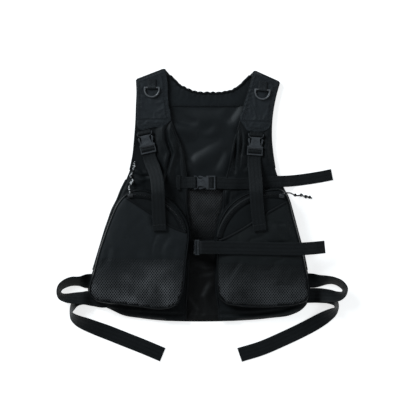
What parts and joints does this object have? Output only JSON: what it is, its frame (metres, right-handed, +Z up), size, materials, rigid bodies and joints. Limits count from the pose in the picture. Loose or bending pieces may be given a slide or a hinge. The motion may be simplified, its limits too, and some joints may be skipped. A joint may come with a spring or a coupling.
{
  "type": "safety harness vest",
  "caption": "Black fabric vest laid flat, with zipped pockets, shoulder, chest and waist side-release buckles, webbing straps, D-rings and waist straps.",
  "frame": {"origin": "on the floor plane, below the middle of the whole outline with the straps laid out", "axes": "+Z up from the floor, out of the vest's front; +Y from the hem to the shoulders; +X towards the wearer's left"},
  "size_m": [0.6385, 0.6441, 0.0593],
  "materials": {
    "shell_fabric": "matt plain weave",
    "lining": "smooth satin lining",
    "pocket_mesh": "matt knitted mesh",
    "binding": "matt tape",
    "webbing": "ribbed polyester webbing",
    "zip": "woven tape with a coil chain",
    "cord": "braided, with light flecks",
    "buckle_plastic": "satin moulded",
    "ring_metal": "satin dark coating",
    "slider_metal": "satin"
  },
  "bodies": {
    "vest": {"back_panel": "lining", "back_yoke": "lining", "neck_binding": "binding", "side_panel_r": "binding", "side_panel_l": "binding", "shoulder_seam_r": "binding", "shoulder_seam_l": "binding", "front_panel_r": "shell_fabric", "front_panel_l": "shell_fabric", "shoulder_pad_r": "shell_fabric", "shoulder_pad_l": "shell_fabric", "ring_keeper_r": "webbing", "ring_keeper_l": "webbing", "pocket_gusset_r": "shell_fabric", "pocket_gusset_l": "shell_fabric", "pocket_face_r": "pocket_mesh", "pocket_face_l": "pocket_mesh", "slip_pocket_r": "pocket_mesh", "slip_pocket_l": "pocket_mesh", "zip_tape_r": "zip", "zip_tape_l": "zip", "chest_tab": "webbing", "waist_strap_r": "webbing", "waist_strap_l": "webbing", "socket_shoulder_r": "buckle_plastic", "anchor_shoulder_r": "webbing", "socket_shoulder_l": "buckle_plastic", "anchor_shoulder_l": "webbing", "socket_chest": "buckle_plastic", "anchor_chest": "webbing", "socket_lower": "buckle_plastic", "anchor_lower": "webbing"},
    "release_shoulder_r": {"plug_shoulder_r": "buckle_plastic", "strap_shoulder_r": "webbing"},
    "latch_shoulder_r_a": {"latch_shoulder_r_a": "buckle_plastic"},
    "latch_shoulder_r_b": {"latch_shoulder_r_b": "buckle_plastic"},
    "release_shoulder_l": {"plug_shoulder_l": "buckle_plastic", "strap_shoulder_l": "webbing"},
    "latch_shoulder_l_a": {"latch_shoulder_l_a": "buckle_plastic"},
    "latch_shoulder_l_b": {"latch_shoulder_l_b": "buckle_plastic"},
    "release_chest": {"plug_chest": "buckle_plastic", "strap_chest": "webbing"},
    "latch_chest_a": {"latch_chest_a": "buckle_plastic"},
    "latch_chest_b": {"latch_chest_b": "buckle_plastic"},
    "release_lower": {"plug_lower": "buckle_plastic", "strap_lower": "webbing"},
    "latch_lower_a": {"latch_lower_a": "buckle_plastic"},
    "latch_lower_b": {"latch_lower_b": "buckle_plastic"},
    "ring_r": {"d_ring_r": "ring_metal"},
    "ring_l": {"d_ring_l": "ring_metal"},
    "zip_r": {"zip_slider_r": "slider_metal", "pull_cord_r": "cord"},
    "zip_l": {"zip_slider_l": "slider_metal", "pull_cord_l": "cord"}
  },
  "joints": [
    {"name": "release_shoulder_r", "type": "slide", "parent": "vest", "child": "release_shoulder_r", "axis": [0.225, -0.9744, 0], "range_m": [0, 0.026], "deforming": ["strap_shoulder_r"]},
    {"name": "squeeze_shoulder_r_a", "type": "hinge", "parent": "release_shoulder_r", "child": "latch_shoulder_r_a", "pos_m": [-0.13194, 0.14935, 0.0161], "axis": [0, 0, -1], "range_deg": [0, 20.15]},
    {"name": "squeeze_shoulder_r_b", "type": "hinge", "parent": "release_shoulder_r", "child": "latch_shoulder_r_b", "pos_m": [-0.1066, 0.15519, 0.0161], "axis": [0, 0, 1], "range_deg": [0, 20.15]},
    {"name": "release_shoulder_l", "type": "slide", "parent": "vest", "child": "release_shoulder_l", "axis": [-0.0698, -0.9976, 0], "range_m": [0, 0.026], "deforming": ["strap_shoulder_l"]},
    {"name": "squeeze_shoulder_l_a", "type": "hinge", "parent": "release_shoulder_l", "child": "latch_shoulder_l_a", "pos_m": [0.10461, 0.1488, 0.0161], "axis": [0, 0, -1], "range_deg": [0, 20.15]},
    {"name": "squeeze_shoulder_l_b", "type": "hinge", "parent": "release_shoulder_l", "child": "latch_shoulder_l_b", "pos_m": [0.13055, 0.14699, 0.0161], "axis": [0, 0, 1], "range_deg": [0, 20.15]},
    {"name": "release_chest", "type": "slide", "parent": "vest", "child": "release_chest", "axis": [1, 0, 0], "range_m": [0, 0.026], "deforming": ["strap_chest"]},
    {"name": "squeeze_chest_a", "type": "hinge", "parent": "release_chest", "child": "latch_chest_a", "pos_m": [0.0135, 0.0603, 0.0161], "axis": [0, 0, -1], "range_deg": [0, 20.15]},
    {"name": "squeeze_chest_b", "type": "hinge", "parent": "release_chest", "child": "latch_chest_b", "pos_m": [0.0135, 0.0823, 0.0161], "axis": [0, 0, 1], "range_deg": [0, 20.15]},
    {"name": "release_lower", "type": "slide", "parent": "vest", "child": "release_lower", "axis": [0.1736, 0, 0.9848], "range_m": [0, 0.026], "deforming": ["strap_lower"]},
    {"name": "squeeze_lower_a", "type": "hinge", "parent": "release_lower", "child": "latch_lower_a", "pos_m": [-0.01014, -0.0828, 0.0366], "axis": [0.9848, 0, -0.1736], "range_deg": [0, 20.15]},
    {"name": "squeeze_lower_b", "type": "hinge", "parent": "release_lower", "child": "latch_lower_b", "pos_m": [-0.01014, -0.0578, 0.0366], "axis": [-0.9848, 0, 0.1736], "range_deg": [0, 20.15]},
    {"name": "ring_r", "type": "hinge", "parent": "vest", "child": "ring_r", "pos_m": [-0.1089, 0.2795, 0.01835], "axis": [-1, 0, 0], "range_deg": [0, 150]},
    {"name": "ring_l", "type": "hinge", "parent": "vest", "child": "ring_l", "pos_m": [0.1338, 0.2746, 0.01835], "axis": [-0.9976, 0.0698, 0], "range_deg": [0, 150]},
    {"name": "unzip_r", "type": "hinge", "parent": "vest", "child": "zip_r", "pos_m": [-0.1423, -0.0645, 0.0404], "axis": [0, 0, -1], "range_deg": [0, 75], "deforming": ["pull_cord_r"]},
    {"name": "unzip_l", "type": "hinge", "parent": "vest", "child": "zip_l", "pos_m": [0.1524, -0.0723, 0.0404], "axis": [0, 0, 1], "range_deg": [0, 84], "deforming": ["pull_cord_l"]}
  ],
  "couplings": [
    {"joint": "squeeze_shoulder_r_a", "follows": "release_shoulder_r", "rad_per_m": 13.5},
    {"joint": "squeeze_shoulder_r_b", "follows": "release_shoulder_r", "rad_per_m": 13.5},
    {"joint": "squeeze_shoulder_l_a", "follows": "release_shoulder_l", "rad_per_m": 13.5},
    {"joint": "squeeze_shoulder_l_b", "follows": "release_shoulder_l", "rad_per_m": 13.5},
    {"joint": "squeeze_chest_a", "follows": "release_chest", "rad_per_m": 13.5},
    {"joint": "squeeze_chest_b", "follows": "release_chest", "rad_per_m": 13.5},
    {"joint": "squeeze_lower_a", "follows": "release_lower", "rad_per_m": 13.5},
    {"joint": "squeeze_lower_b", "follows": "release_lower", "rad_per_m": 13.5}
  ]
}
